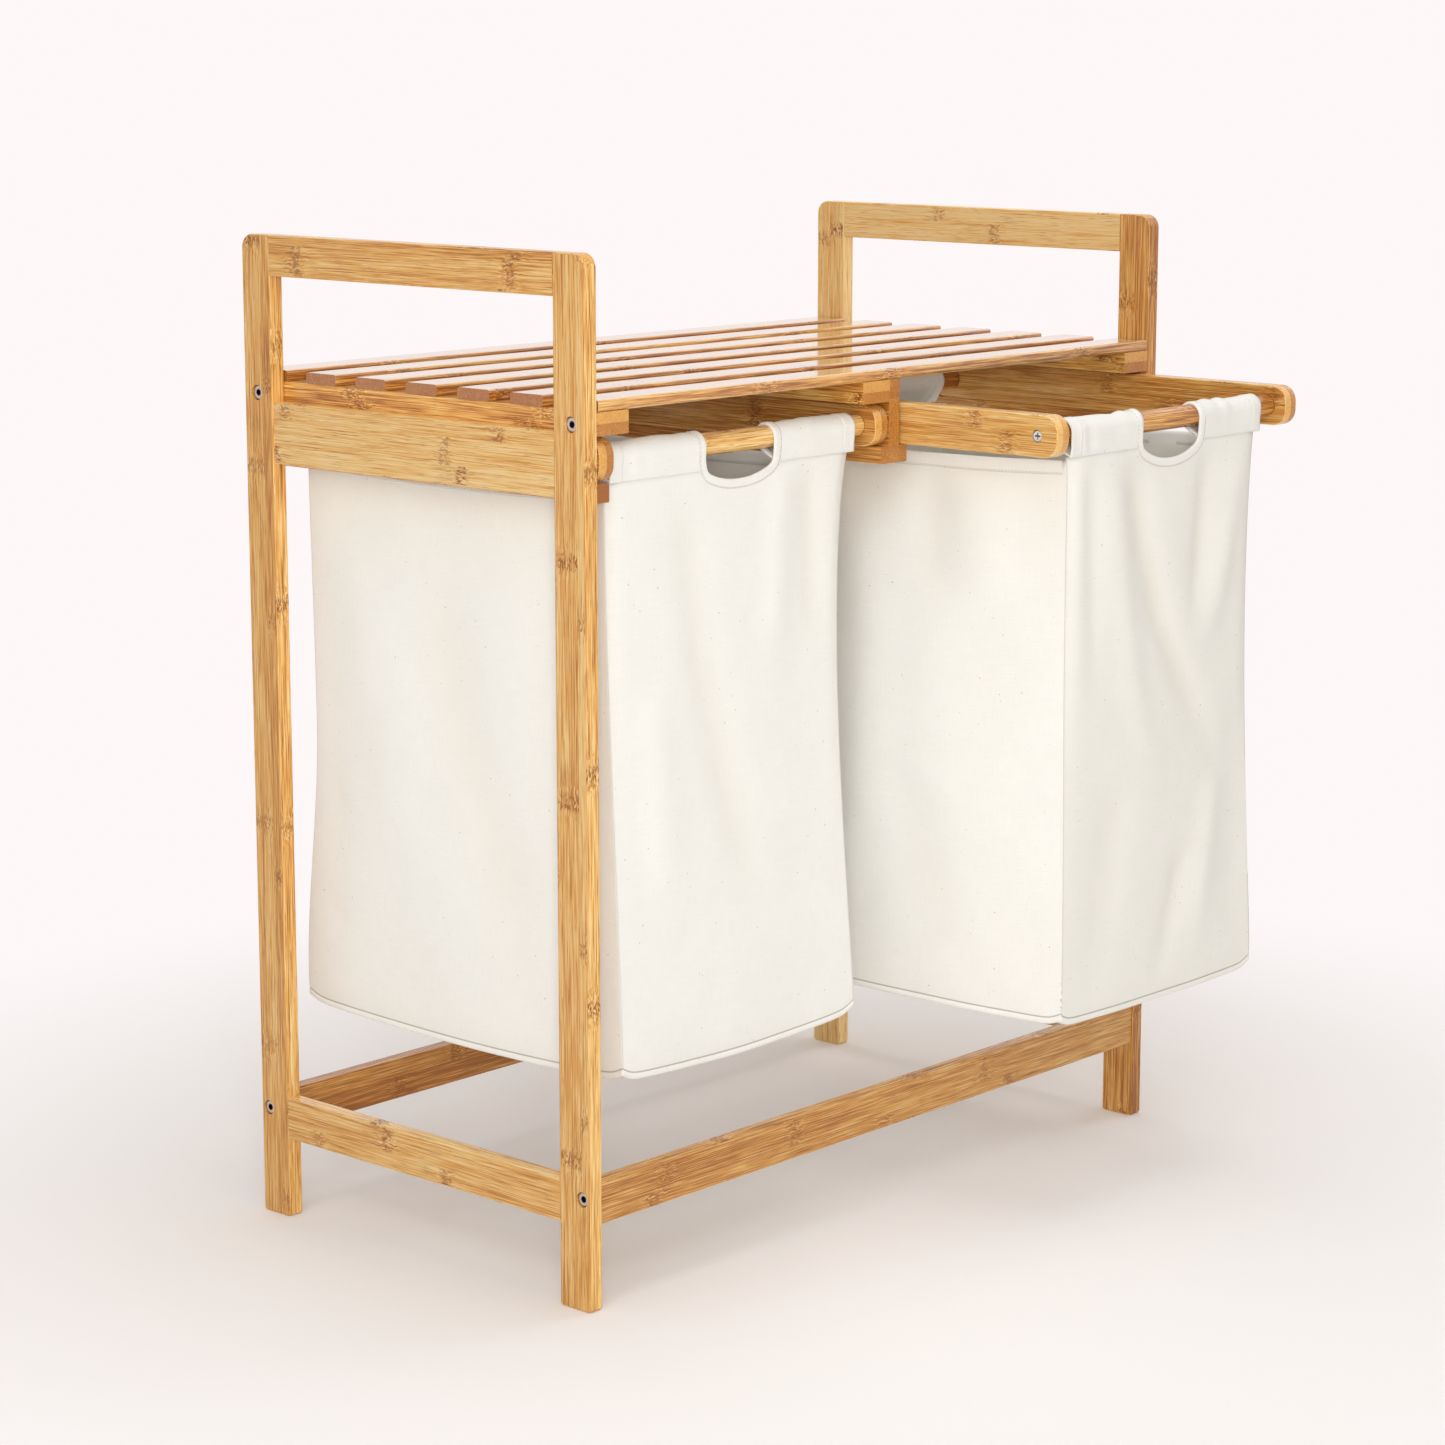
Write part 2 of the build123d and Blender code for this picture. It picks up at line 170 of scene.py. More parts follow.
def make_bamboo_group():
    """Colour, roughness and height of laminated bamboo. X runs along the grain, in metres."""
    group = bpy.data.node_groups.new("bamboo_grain", "ShaderNodeTree")
    group.interface.new_socket("Vector", in_out="INPUT", socket_type="NodeSocketVector")
    for name in ("Seed", "Ply", "Tone", "End", "End Tone", "End Step"):
        group.interface.new_socket(name, in_out="INPUT", socket_type="NodeSocketFloat")
    group.interface.new_socket("Color", in_out="OUTPUT", socket_type="NodeSocketColor")
    for name in ("Roughness", "Height"):
        group.interface.new_socket(name, in_out="OUTPUT", socket_type="NodeSocketFloat")
    net = Net(group)
    given = net.node("NodeGroupInput").outputs
    along, across, deep = net.separate(given["Vector"])
    seed, end = given["Seed"], given["End"]

    # One lamella is a strip across and a ply through the piece
    strip_place = net.math("ADD", net.math("DIVIDE", across, STRIP), seed)
    ply_place = net.math("DIVIDE", deep, given["Ply"])
    strip, ply = net.math("FLOOR", strip_place), net.math("FLOOR", ply_place)
    piece = net.math("FLOOR", net.math("MULTIPLY", seed, 17.0))
    lamella = net.random(net.combine(strip, ply, piece))

    # Growth nodes of the cane along each lamella
    shifted = net.math("ADD", along, net.math("MULTIPLY", lamella[1], NODE_PITCH))
    cell_place = net.math("DIVIDE", shifted, NODE_PITCH)
    cell = net.math("FLOOR", cell_place)
    jitter = net.random(net.combine(cell, net.math("MULTIPLY", lamella[0], 91.0), seed))
    offset = net.math("MULTIPLY_ADD", jitter[0], 0.4, 0.3)
    away = net.math("SUBTRACT", net.math("FRACT", cell_place), offset)
    away = net.math("MULTIPLY", away, NODE_PITCH)
    distance = net.math("ABSOLUTE", away)
    zone = net.fade(distance, 0.019, 0.006)
    core = net.fade(distance, 0.0080, 0.0030)
    tail = net.math("MULTIPLY", net.fade(away, 0.042, 0.006), net.fade(away, -0.003, 0.003))

    # Fibres, which waver round a growth node
    shift = net.combine(net.math("MULTIPLY", seed, 3.1), seed,
                        net.math("MULTIPLY", lamella[2], 7.0))
    swirl_vector = net.vector("MULTIPLY", given["Vector"], (120.0, 210.0, 210.0))
    swirl_vector = net.vector("ADD", swirl_vector, shift)
    swirl = net.math("SUBTRACT", net.noise(swirl_vector, detail=1.0), 0.5)
    wavering = net.math("MULTIPLY", net.math("MULTIPLY", swirl, zone), 0.0045)
    bent = net.combine(along, net.math("ADD", across, wavering), deep)

    def streaks(scale, detail):
        vector = net.vector("ADD", net.vector("MULTIPLY", bent, scale), shift)
        return net.math("SUBTRACT", net.noise(vector, detail=detail, roughness=0.55), 0.5)

    fine = streaks((26.0, 1500.0, 1500.0), 2.0)
    medium = streaks((9.0, 400.0, 400.0), 2.0)
    broad = streaks((3.0, 85.0, 85.0), 1.0)
    mottle = streaks((200.0, 900.0, 900.0), 2.0)
    pores = net.fade(streaks((60.0, 1300.0, 1300.0), 1.0), 0.10, 0.22)
    fibre = net.math("MULTIPLY_ADD", medium, 0.80, net.math("MULTIPLY", broad, 0.55))
    fibre = net.math("MULTIPLY_ADD", fine, 2.35, fibre)
    fibre = net.math("MULTIPLY_ADD", net.math("MULTIPLY", mottle, zone), 1.3, fibre)

    # Level on the cane's colour scale: fibres, lamellas and plies, and the tone of the piece, which
    # for some pieces also holds painted shade
    level = net.math("MULTIPLY", fibre, net.math("MULTIPLY_ADD", end, -0.7, 1.0))
    strips = net.math("MULTIPLY_ADD", end, -0.20, 0.24)
    level = net.math("MULTIPLY_ADD", net.math("SUBTRACT", lamella[0], 0.5), strips, level)
    ply_step = net.math("SUBTRACT", ply, 0.5)
    end_level = net.math("MULTIPLY_ADD", ply_step, given["End Step"], given["End Tone"])
    level = net.math("MULTIPLY_ADD", end, end_level, level)
    level = net.math("ADD", net.math("ADD", level, given["Tone"]), 0.50)
    colour = net.ramp(level, CANE_COLOURS)

    # Dark marks of the growth nodes, open pores, and the joint between two lamellas
    marks = net.fade(streaks((300.0, 1000.0, 1000.0), 2.0), -0.02, 0.05)
    tails = net.fade(streaks((60.0, 820.0, 820.0), 2.0), 0.00, 0.16)
    trail = net.math("MULTIPLY", net.math("MULTIPLY", tails, tail), 0.42)
    dark = net.math("MAXIMUM", net.math("MULTIPLY", marks, core), trail)
    dark = net.math("MULTIPLY", dark, net.math("MULTIPLY_ADD", jitter[1], 0.55, 0.45))
    dark = net.math("MAXIMUM", dark, net.math("MULTIPLY", pores, 0.50))
    dark = net.math("MULTIPLY", dark, net.math("SUBTRACT", 1.0, end))
    colour = net.mix(dark, colour, NODE_BROWN)

    def edges(place, start, full):
        from_middle = net.math("SUBTRACT", net.math("FRACT", place), 0.5)
        return net.fade(net.math("ABSOLUTE", from_middle), start, full)

    joint = net.math("MAXIMUM", edges(strip_place, 0.484, 0.498), edges(ply_place, 0.462, 0.498))
    colour = net.mix(net.math("MULTIPLY", joint, 0.30), colour, JOINT_BROWN)

    roughness = net.math("MULTIPLY_ADD", fine, 0.16, 0.26)
    depth = net.math("MULTIPLY_ADD", dark, 0.5, net.math("MULTIPLY", joint, 0.8))
    height = net.math("SUBTRACT", net.math("MULTIPLY", fine, 0.6), depth)
    net.node("NodeGroupOutput", {"Color": colour, "Roughness": roughness, "Height": height})
    return group


bamboo_group = make_bamboo_group()


def bamboo(node, axis, seed, tone_and_shade=0.0, plies=1, through=None, ring=None, lacquer=0.15,
           end_tone=-0.10, end_step=0.0, edge_tone=0.0):
    """Gives a CAD node its own cut of bamboo, centred on its box.

    The grain runs along the axis, and the plies lie one behind the other along axis number through.
    A ring is a dark line that far from the middle. A tone above 0 is lighter, and for pieces that
    sit in shadow it also holds painted shade. The edge shade is painted shade on the faces that
    look across the strips, end_tone is for the end grain, and end_step parts its plies.
    """
    low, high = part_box(node)
    order = TURN[axis]
    if through is not None:
        order = (order[0], 3 - order[0] - through, through)
    thickness = (high - low)[order[2]]
    material, net, shader = new_material("bamboo_" + node)
    coordinates = net.node("TexCoord").outputs
    centred = net.vector("SUBTRACT", coordinates["Object"], tuple((low + high) / 2))
    parts = net.separate(centred)
    normal = net.separate(coordinates["Normal"])
    endwise, edgewise = (net.fade(net.math("ABSOLUTE", normal[order[i]]), *FACING) for i in (0, 1))
    deep = net.math("ADD", parts[order[2]], 0.4999 * thickness)
    # The piece's tone, with painted shade added on the faces that look across the strips
    grain = net.node("Group", {
        "Vector": net.combine(parts[order[0]], parts[order[1]], deep),
        "Seed": seed,
        "Ply": thickness / plies,
        "Tone": net.math("MULTIPLY_ADD", edgewise, edge_tone, tone_and_shade),
        "End": endwise,
        "End Tone": end_tone,
        "End Step": end_step,
    }, node_tree=bamboo_group).outputs
    colour = grain["Color"]
    if ring is not None:
        along = net.math("ABSOLUTE", parts[order[0]])
        line = net.fade(along, *(ring - edge for edge in RING_EDGES))
        colour = net.mix(net.math("MULTIPLY", line, 0.8), colour, RING_BROWN)
    bump = net.node("Bump", {"Strength": 0.25 - 0.2 * lacquer, "Distance": 0.0002,
                             "Height": grain["Height"]})
    connect(net, shader, base_color=colour, roughness=grain["Roughness"], normal=bump.outputs[0],
            coat_weight=lacquer, coat_roughness=COAT_ROUGHNESS, specular_ior_level=0.35)
    dress(node, material)


# Steel, in metres. A head's recess and rim get dark painted shade, and their edges fade between two
# radii

HEX_HEAD = dict(recess=(0.0027, 0.0022), rim_inside=(0.0042, 0.0048), rim_outside=(0.0070, 0.0060))
CROSS_HEAD = dict(recess=(0.0026, 0.0022), slot=(0.0007, 0.0003), rim_inside=(0.0034, 0.0039),
                  rim_outside=(0.0060, 0.0050))
HEAD_PAINTED_SHADE = (0.014, 0.010, 0.008)


def metal(name, colour, roughness, metallic=1.0, heads=(), form=None):
    """Plated steel. Heads are the (y, z) places of head axes, all of one form, whose recess and rim
    get painted shade.
    """
    material, net, shader = new_material(name)
    place = net.node("TexCoord").outputs["Object"]
    stain = net.noise(place, scale=900.0, detail=3.0)
    marks = net.noise(net.vector("MULTIPLY", place, (400.0, 5200.0, 5200.0)), detail=1.0)
    shade = net.ramp(stain, [(0.3, tuple(0.72 * c for c in colour)), (0.7, colour)])
    _, y, z = net.separate(place)
    # Painted shade: the head's recess, a screw's cross slot, and a ring at the head's rim
    for head_y, head_z in heads:
        dy = net.math("ABSOLUTE", net.math("SUBTRACT", y, head_y))
        dz = net.math("ABSOLUTE", net.math("SUBTRACT", z, head_z))
        reach = net.length(net.combine(dy, dz, 0.0))
        dark = net.fade(reach, *form["recess"])
        if "slot" in form:
            cross = net.fade(net.math("MINIMUM", dy, dz), *form["slot"])
            dark = net.math("MULTIPLY", cross, dark)
        rim = net.math("MULTIPLY", net.fade(reach, *form["rim_inside"]),
                       net.fade(reach, *form["rim_outside"]))
        dark = net.math("MAXIMUM", dark, net.math("MULTIPLY", rim, 0.8))
        shade = net.mix(dark, shade, HEAD_PAINTED_SHADE)
    rough = net.math("MULTIPLY_ADD", marks, 0.25, roughness - 0.12)
    bump = net.node("Bump", {"Strength": 0.15, "Distance": 0.00005, "Height": marks})
    connect(net, shader, base_color=shade, metallic=metallic, roughness=rough,
            normal=bump.outputs[0])
    return material


# Canvas

# Seed flecks: cells per metre, size and share of the cells that have one, and colour
FLECKS = ((100.0, 0.052, 1.00, (0.34, 0.24, 0.14)),
          (180.0, 0.060, 0.90, (0.52, 0.42, 0.30)))
# Colours of painted shade: warm beige in folds, below the shelf and on the right bag's ends, and
# brown along seams
PAINTED_SHADE_BEIGE = (0.80, 0.725, 0.58)
PAINTED_SEAM_SHADE = (0.30, 0.245, 0.18)


def make_canvas(name, tint, thread):
    """Undyed cotton canvas: plain weave, slubs, seed flecks, and painted shade in folds, below the
    shelf and at seams.
    """
    material, net, shader = new_material(name)
    coordinates = net.node("TexCoord").outputs
    place = coordinates["Object"]
    u, v, _ = net.separate(coordinates["UV"])
    turn = 2 * math.pi / thread
    warp, weft = (net.math("SINE", net.math("MULTIPLY", way, turn)) for way in (u, v))
    weave = net.math("MULTIPLY", warp, weft)

    def slubs(scale_u, scale_v, layer):
        drawn_out = net.combine(net.math("MULTIPLY", u, scale_u), net.math("MULTIPLY", v, scale_v),
                                layer)
        return net.noise(drawn_out, detail=1.0)

    slub = net.math("ADD", slubs(1400.0, 55.0, 0.0), slubs(55.0, 1400.0, 4.0))
    cloud = net.noise(place, scale=22.0, detail=3.0)
    shade = net.math("MULTIPLY_ADD", weave, 0.012, 0.905)
    shade = net.math("MULTIPLY_ADD", cloud, 0.05, shade)
    shade = net.math("MULTIPLY_ADD", slub, 0.07, shade)
    colour = net.scaled(tint, shade)

    for cells, size, share, brown in FLECKS:
        spots = net.node("TexVoronoi", {"Vector": place, "Scale": cells, "Randomness": 1.0}).outputs
        pick = net.separate(spots["Color"])
        seen = net.math("LESS_THAN", pick[0], share)
        sized = net.math("MULTIPLY", net.math("MULTIPLY_ADD", pick[1], 0.7, 0.4), size)
        fleck = net.math("MULTIPLY", net.math("LESS_THAN", spots["Distance"], sized), seen)
        colour = net.mix(net.math("MULTIPLY", fleck, 0.62), colour, brown)
    # Painted shade from the point values: in folds, below the shelf, on the right bag's ends, and
    # along seams
    for attribute, share, shaded in (("painted_shade", 0.30, PAINTED_SHADE_BEIGE), ("seam", 0.85, PAINTED_SEAM_SHADE)):
        value = net.node("Attribute", attribute_name=attribute).outputs["Fac"]
        colour = net.mix(net.math("MULTIPLY", value, share), colour, shaded)
    height = net.math("MULTIPLY_ADD", weave, 0.35, net.math("MULTIPLY", slub, 0.9))
    bump = net.node("Bump", {"Strength": 0.28, "Distance": 0.00025, "Height": height})
    connect(net, shader, base_color=colour, roughness=0.92, normal=bump.outputs[0],
            sheen_weight=0.08, sheen_roughness=0.5, specular_ior_level=0.2)
    return material


# Materials of the CAD nodes. The painted shade on the bolts' and screws' heads is placed in metres

FRAME_Y = middle_of("left_apron")[1] * MM
UPPER_BOLT = (0.157, middle_of("left_shelf_batten")[2] * MM)
LOWER_BOLT = (FRAME_Y - middle_of("front_stretcher")[1] * MM, 0.0804)
BOLT_HEADS = [(FRAME_Y + end * y, z) for end in (-1, 1) for y, z in (UPPER_BOLT, LOWER_BOLT)]
SCREW_HEADS = [tuple(middle_of(f"{side}_carrier_{end}_dowel")[1:] * MM)
               for side in ("left", "right") for end in ("front", "rear")]
canvas = make_canvas("canvas", (0.878, 0.878, 0.854), 0.0011)
stitch_thread = make_canvas("stitch_thread", (0.72, 0.68, 0.61), 0.0007)
zinc_steel = metal("zinc_steel", (0.78, 0.78, 0.77), 0.30)
screw_steel = metal("screw_steel", (0.86, 0.87, 0.88), 0.34, 0.45, SCREW_HEADS, CROSS_HEAD)
# The bolt steel's warm pinkish tint is painted reflection of the wood round it
bolt_steel = metal("bolt_steel", (0.66, 0.54, 0.48), 0.32, 0.6, BOLT_HEADS, HEX_HEAD)

# Each bamboo node: grain direction, seed, and how much lighter or darker its cane is.
# That tone also holds painted shade on pieces that sit in shadow: the right front post, the
# right dowels, the left carrier's rails, the right apron, the rear stretcher, the ledgers, the
# battens and the centre board.
SLATS = 7
# The right front post's lower tone is painted shade
POST_TONE_AND_SHADE = {"left_front": 0.05, "left_rear": -0.04, "right_front": -0.06, "right_rear": 0.34}
# Painted shade on the front and rear faces of the right front post
POST_EDGE_SHADE = {"right_front": -0.40}
# The left carrier's rails are darker as painted shade
RAIL_TONE_AND_SHADE = {"left_left": -0.14, "left_right": -0.08, "right_left": 0.10, "right_right": -0.04}
RAIL_FACE = (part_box("left_carrier_right_rail")[0].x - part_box("left_carrier_left_rail")[1].x) / 2
for number in range(1, SLATS + 1):
    # Slats: painted shade on their front and rear faces, which look across the strips
    bamboo(f"shelf_slat_{number}", "X", 0.31 + 1.37 * number, 0.18, lacquer=1.0,
           end_tone=-0.66, edge_tone=-0.50)
for index, side in enumerate(("left", "right")):
    for end_index, end in enumerate(("front", "rear")):
        post = f"{side}_{end}"
        bamboo(f"{post}_post", "Z", 2.35 + 3.7 * index + 1.9 * end_index, POST_TONE_AND_SHADE[post],
               through=0, edge_tone=POST_EDGE_SHADE.get(post, 0.0))
        # The right dowels' darker tone is painted shade
        bamboo(f"{side}_carrier_{end}_dowel", "X", 5.2 + 2.1 * index + 0.8 * end_index,
               0.02 - 0.36 * index, ring=RAIL_FACE)
    bamboo(f"{side}_handle_rail", "Y", 3.6 + 2.3 * index, 0.02 + 0.34 * index, through=0)
    # The right apron's darker tone is painted shade on its inner face below the shelf
    bamboo(f"{side}_apron", "Y", 7.45 + 1.7 * index, 0.28 - 0.30 * index, through=0)
    bamboo(f"{side}_lower_rail", "Y", 1.15 + 4.1 * index, 0.10, through=0)
    # The ledgers' dark tone is painted shade below the shelf
    bamboo(f"{side}_side_ledger", "Y", 4.4 + 1.3 * index, -0.28, end_tone=-0.42)
    bamboo(f"{side}_centre_ledger", "Y", 6.7 + 1.1 * index, -0.28)
    for rail_index, rail in enumerate(("left", "right")):
        bamboo(f"{side}_carrier_{rail}_rail", "Y", 8.2 + 2.7 * index + 1.15 * rail_index,
               RAIL_TONE_AND_SHADE[f"{side}_{rail}"], plies=2, through=0, end_tone=-0.08, end_step=-0.30)
    dress(f"{side}_carrier_screws", screw_steel)
    bamboo(f"{side}_frame_pins", "Y", 2.2 + index, -0.05)
for index, end in enumerate(("front", "rear")):
    # The rear stretcher's darker tone is painted shade below the bags
    bamboo(f"{end}_stretcher", "X", 9.3 + 2.6 * index, -0.02 - 0.28 * index, through=1)
for index, batten in enumerate(("left", "middle", "right")):
    # The battens' dark tone is painted shade below the shelf
    bamboo(f"{batten}_shelf_batten", "Y", 3.1 + 1.21 * index, -0.10, plies=2, through=2,
           end_step=0.26)
# The centre board's dark tone is painted shade below the shelf
bamboo("centre_board", "Y", 6.15, -0.22, through=0)
bamboo("stretcher_pins", "X", 4.9, -0.05)
bamboo("ledger_pins", "X", 5.7, -0.05)
for name in ("slat_screws", "board_screws", "threaded_inserts"):
    dress(name, zinc_steel)
dress("frame_bolts", bolt_steel)


# Canvas bags. Sizes below are millimetres about a carrier's middle, and heights above the floor.
# End -1 is the front and 1 the rear, and side -1 is the left and 1 the right

CLOTH = 1.1

# Sleeves: drop-shaped loops round the dowels, which close in a crease, more or less far out
FRONT_DOWEL, REAR_DOWEL = (middle_of(f"left_carrier_{end}_dowel") for end in ("front", "rear"))
DOWEL_Y = (REAR_DOWEL[1] - FRONT_DOWEL[1]) / 2
LOOP_Z = FRONT_DOWEL[2]
LOOP_RADIUS = 9.8
CREASE_Z = 570.5
CREASE_OUT = {-1: 9.0, 1: 0.0}
SLEEVE_HEM = 12.0
CUT_HALF = 36.0

# Panels: where their upper corners and their lower edges are, and how the cloth hangs in between
TOP_Z = 575.0
SIDE_TOP_Z, SIDE_SAG = 567.5, 4.5
SIDE_CORNER_Z = 566.0
BOTTOM_Z = 155.0
SEAM_Z = 5.5
FLARE_HEIGHT = 22.0
GATHER, GATHER_Z, GATHER_HEIGHT = 5.0, 150.0, 8.0
LIFT, LIFT_REACH = 4.5, 7.0
UNEVEN = 2.2
END_BELLY, SIDE_BELLY, SIDE_DIP = 3.0, 4.5, 4.0
CURL_REACH = 7.0
CURL = {-1: dict(depth=5.0, start=200.0, rise=370.0), 1: dict(depth=12.0, start=190.0, rise=180.0)}

# Painted shade at the upright seams and below the shelf, and on the two rows of the lower seam
SEAM_SHADE, SEAM_WIDTH = 0.55, 0.8
SHELF_SHADE, SHELF_SHADE_Z, SHELF_SHADE_RISE = 0.55, 470.0, 90.0
LOWER_SEAM_SHADE = (0.45, 1.00)

# Steps between points across the end panels and side panels, and along the sleeves and tapes
END_STEP, SIDE_STEP = 5.0, 6.0
SLEEVE_STEP, BINDING_STEP, HEM_STEP = 3.2, 1.6, 3.0

# Shares of a panel's height for its last rows, which are close together at the seam
LOW_STEPS = [0.992, 0.9963, 0.9985, 1.0]

# Rim below the seam: each row's drop and its way in, towards the bag's middle
UNDER = ((0.5, 0.30), (1.1, -0.15), (2.4, -0.5), (4.2, -0.4), (5.2, 0.3), (5.7, 1.6), (5.9, 7.0))

# Folded tape of the bindings and hems: share of its width from the cloth's edge, and height over
# the cloth's outer face
TAPE = ((1.0, 0.1), (0.98, 0.5), (0.82, 0.4), (0.55, 0.62), (0.22, 0.7), (0.04, 0.6), (-0.07, 0.1),
        (-0.09, -0.6), (-0.04, -1.5), (0.22, -1.8), (0.66, -1.7), (0.99, -1.6), (1.0, -1.1))
BINDING = 6.2
HEM = 9.5

# Stitches: where on the tape they run, and the sizes of one
STITCH_PLACE, STITCH_OVER = 0.84, 0.45
STITCH_PITCH, STITCH_LENGTH, STITCH_RADIUS = 3.1, 2.2, 0.34

# Each bag's upright lines are (height, place) points and its lower edges (corner, middle) heights.
# A fold is a path of (place, height) points from the top, a width and a depth
FRONT_LINE = [(571, -161), (480, -160.2), (380, -160.5), (250, -162), (154, -163.5)]
# end_shade is a share of painted shade over the whole of both end panels
BAGS = {
    "left": dict(
        middle=middle_of("left_carrier_front_dowel", "left_carrier_rear_dowel"),
        seed=1.0, cut_z=562.0, wrinkle=0.25, end_shade=0.0,
        left=[(575, -131), (440, -129), (300, -126), (154, -123)],
        right=[(575, 117), (528, 113), (485, 110.5), (440, 109.5), (380, 110), (309, 113),
               (235, 118), (154, 125)],
        front=FRONT_LINE,
        rear=[(571, 152), (480, 151.5), (380, 152), (290, 154.5), (154, 161.5)],
        bottom_end=(155.0, 149.5), bottom_side=(155.0, 150.0), loop_ends=(-130.0, 122.0),
        flare={"left": 0.0, "right": 4.5},
        end_folds=[
            ([(44, 572), (34, 400)], 14, 2.6),
            ([(76, 570), (82, 420)], 13, -2.4),
            ([(-58, 572), (-40, 440), (0, 300), (30, 190)], 18, -2.4),
            ([(-92, 430), (-70, 240)], 20, 2.8),
        ],
        side_folds=[
            ([(20, 500), (-10, 400), (-60, 250), (-80, 170)], 30, -2.2),
            ([(110, 520), (60, 380), (40, 250), (0, 165)], 34, 2.4),
            ([(122, 480), (125, 170)], 16, -1.6),
            ([(134, 345), (112, 300)], 8, -2.0),
            ([(142, 255), (118, 215)], 8, -2.0),
        ],
    ),
    "right": dict(
        middle=middle_of("right_carrier_front_dowel", "right_carrier_rear_dowel"),
        seed=2.0, cut_z=560.0, wrinkle=0.75, end_shade=0.4,
        left=[(575, -117), (425, -119.5), (280, -122), (155, -124)],
        right=[(575, 112), (509, 109.5), (463, 107.5), (402, 107), (340, 108), (263, 111),
               (193, 115), (155, 118)],
        front=FRONT_LINE,
        rear=[(571, 152), (480, 151.5), (380, 152), (290, 154.5), (154, 161)],
        bottom_end=(155.0, 153.0), bottom_side=(156.0, 152.5), loop_ends=(-121.0, 114.0),
        flare={"left": 3.5, "right": 1.5},
        end_folds=[
            ([(-45, 572), (-30, 500), (-8, 440), (32, 375), (84, 300)], 17, -5.2),
            ([(-97, 572), (-88, 380)], 9, -3.0),
            ([(-72, 572), (-60, 480), (-42, 390), (-5, 300)], 16, 3.6),
            ([(98, 572), (72, 480), (44, 400)], 15, 4.2),
            ([(50, 568), (42, 500), (34, 420)], 12, -3.2),
            ([(104, 380), (96, 165)], 20, -5.0),
            ([(62, 320), (38, 165)], 13, 3.0),
            ([(26, 270), (-4, 162)], 13, -3.0),
            ([(-60, 330), (-78, 165)], 22, -2.6),
        ],
        side_folds=[
            ([(35, 540), (24, 430), (26, 300), (40, 160)], 22, 5.5),
            ([(78, 530), (70, 430), (66, 300), (84, 160)], 24, -6.5),
            ([(-70, 560), (-95, 430)], 30, 3.4),
            ([(-30, 560), (-40, 440)], 20, -2.6),
            ([(-20, 330), (-60, 170)], 26, -2.2),
        ],
    ),
}


def curve(knots):
    """Smooth function close to rough (height, value) points."""
    heights, values = np.array(knots, float).T
    degree = min(4, len(knots) - 1)
    fit = np.polynomial.Polynomial.fit(heights, values, degree)
    return lambda z: fit(np.clip(z, heights.min(), heights.max()))


def ripple(a, b, seed):
    """Slow unevenness of hung cloth, about -1 to 1, over two lengths in millimetres."""
    total = np.zeros(np.broadcast(a, b).shape)
    for k in range(5):
        p = seed * 2.399 + k * 1.713
        wide = 46.0 + 27.0 * k
        tall = 150.0 + 70.0 * ((k * 3) % 5)
        across = np.sin(a / wide * 2.6 + p + 0.9 * np.sin(b / tall + p * 1.7))
        total += across * np.cos(b / tall * 1.9 + 2.1 * p) / 2.2
    return total / 2.0


def ease(share):
    """Smooth step of a share between 0 and 1."""
    held = np.clip(share, 0, 1)
    return held * held * (3 - 2 * held)


def run_along(points):
    """Length of a line of points up to each of them."""
    return np.concatenate([[0], np.cumsum(np.linalg.norm(np.diff(points, axis=0), axis=1))])


def at_places(places, run, values):
    """Values along a line, read off at other places on it."""
    return np.stack([np.interp(places, run, values[:, i]) for i in range(values.shape[1])], 1)


def unit(v):
    return v / np.maximum(np.linalg.norm(v, axis=1, keepdims=True), 1e-9)


def creases(folds, a, z):
    """Depth of soft folds at a place a and a height z."""
    total = np.zeros(np.broadcast(a, z).shape)
    for path, width, depth in folds:
        places, heights = np.array(path[::-1], float).T
        length = heights[-1] - heights[0]
        line = np.interp(z, heights, places)
        held = ease((z - heights[0]) / (0.45 * length)) * ease((heights[-1] - z) / (0.15 * length))
        total += depth * held * np.exp(-((a - line) / width) ** 2)
    return total


def columns(low, high, breaks, step):
    """Values from low to high with fine steps next to each break."""
    marks = [low, high]
    for point in breaks:
        for gap in (0.0, 0.7, 1.5, 3.0, 6.0, 10.0):
            marks += [point - gap, point + gap]
    marks = sorted(m for m in set(marks) if low <= m <= high)
    values = []
    for a, b in zip(marks, marks[1:]):
        count = max(1, int(math.ceil((b - a) / step)))
        values += [a + (b - a) * i / count for i in range(count)]
    return np.array(values + [high])


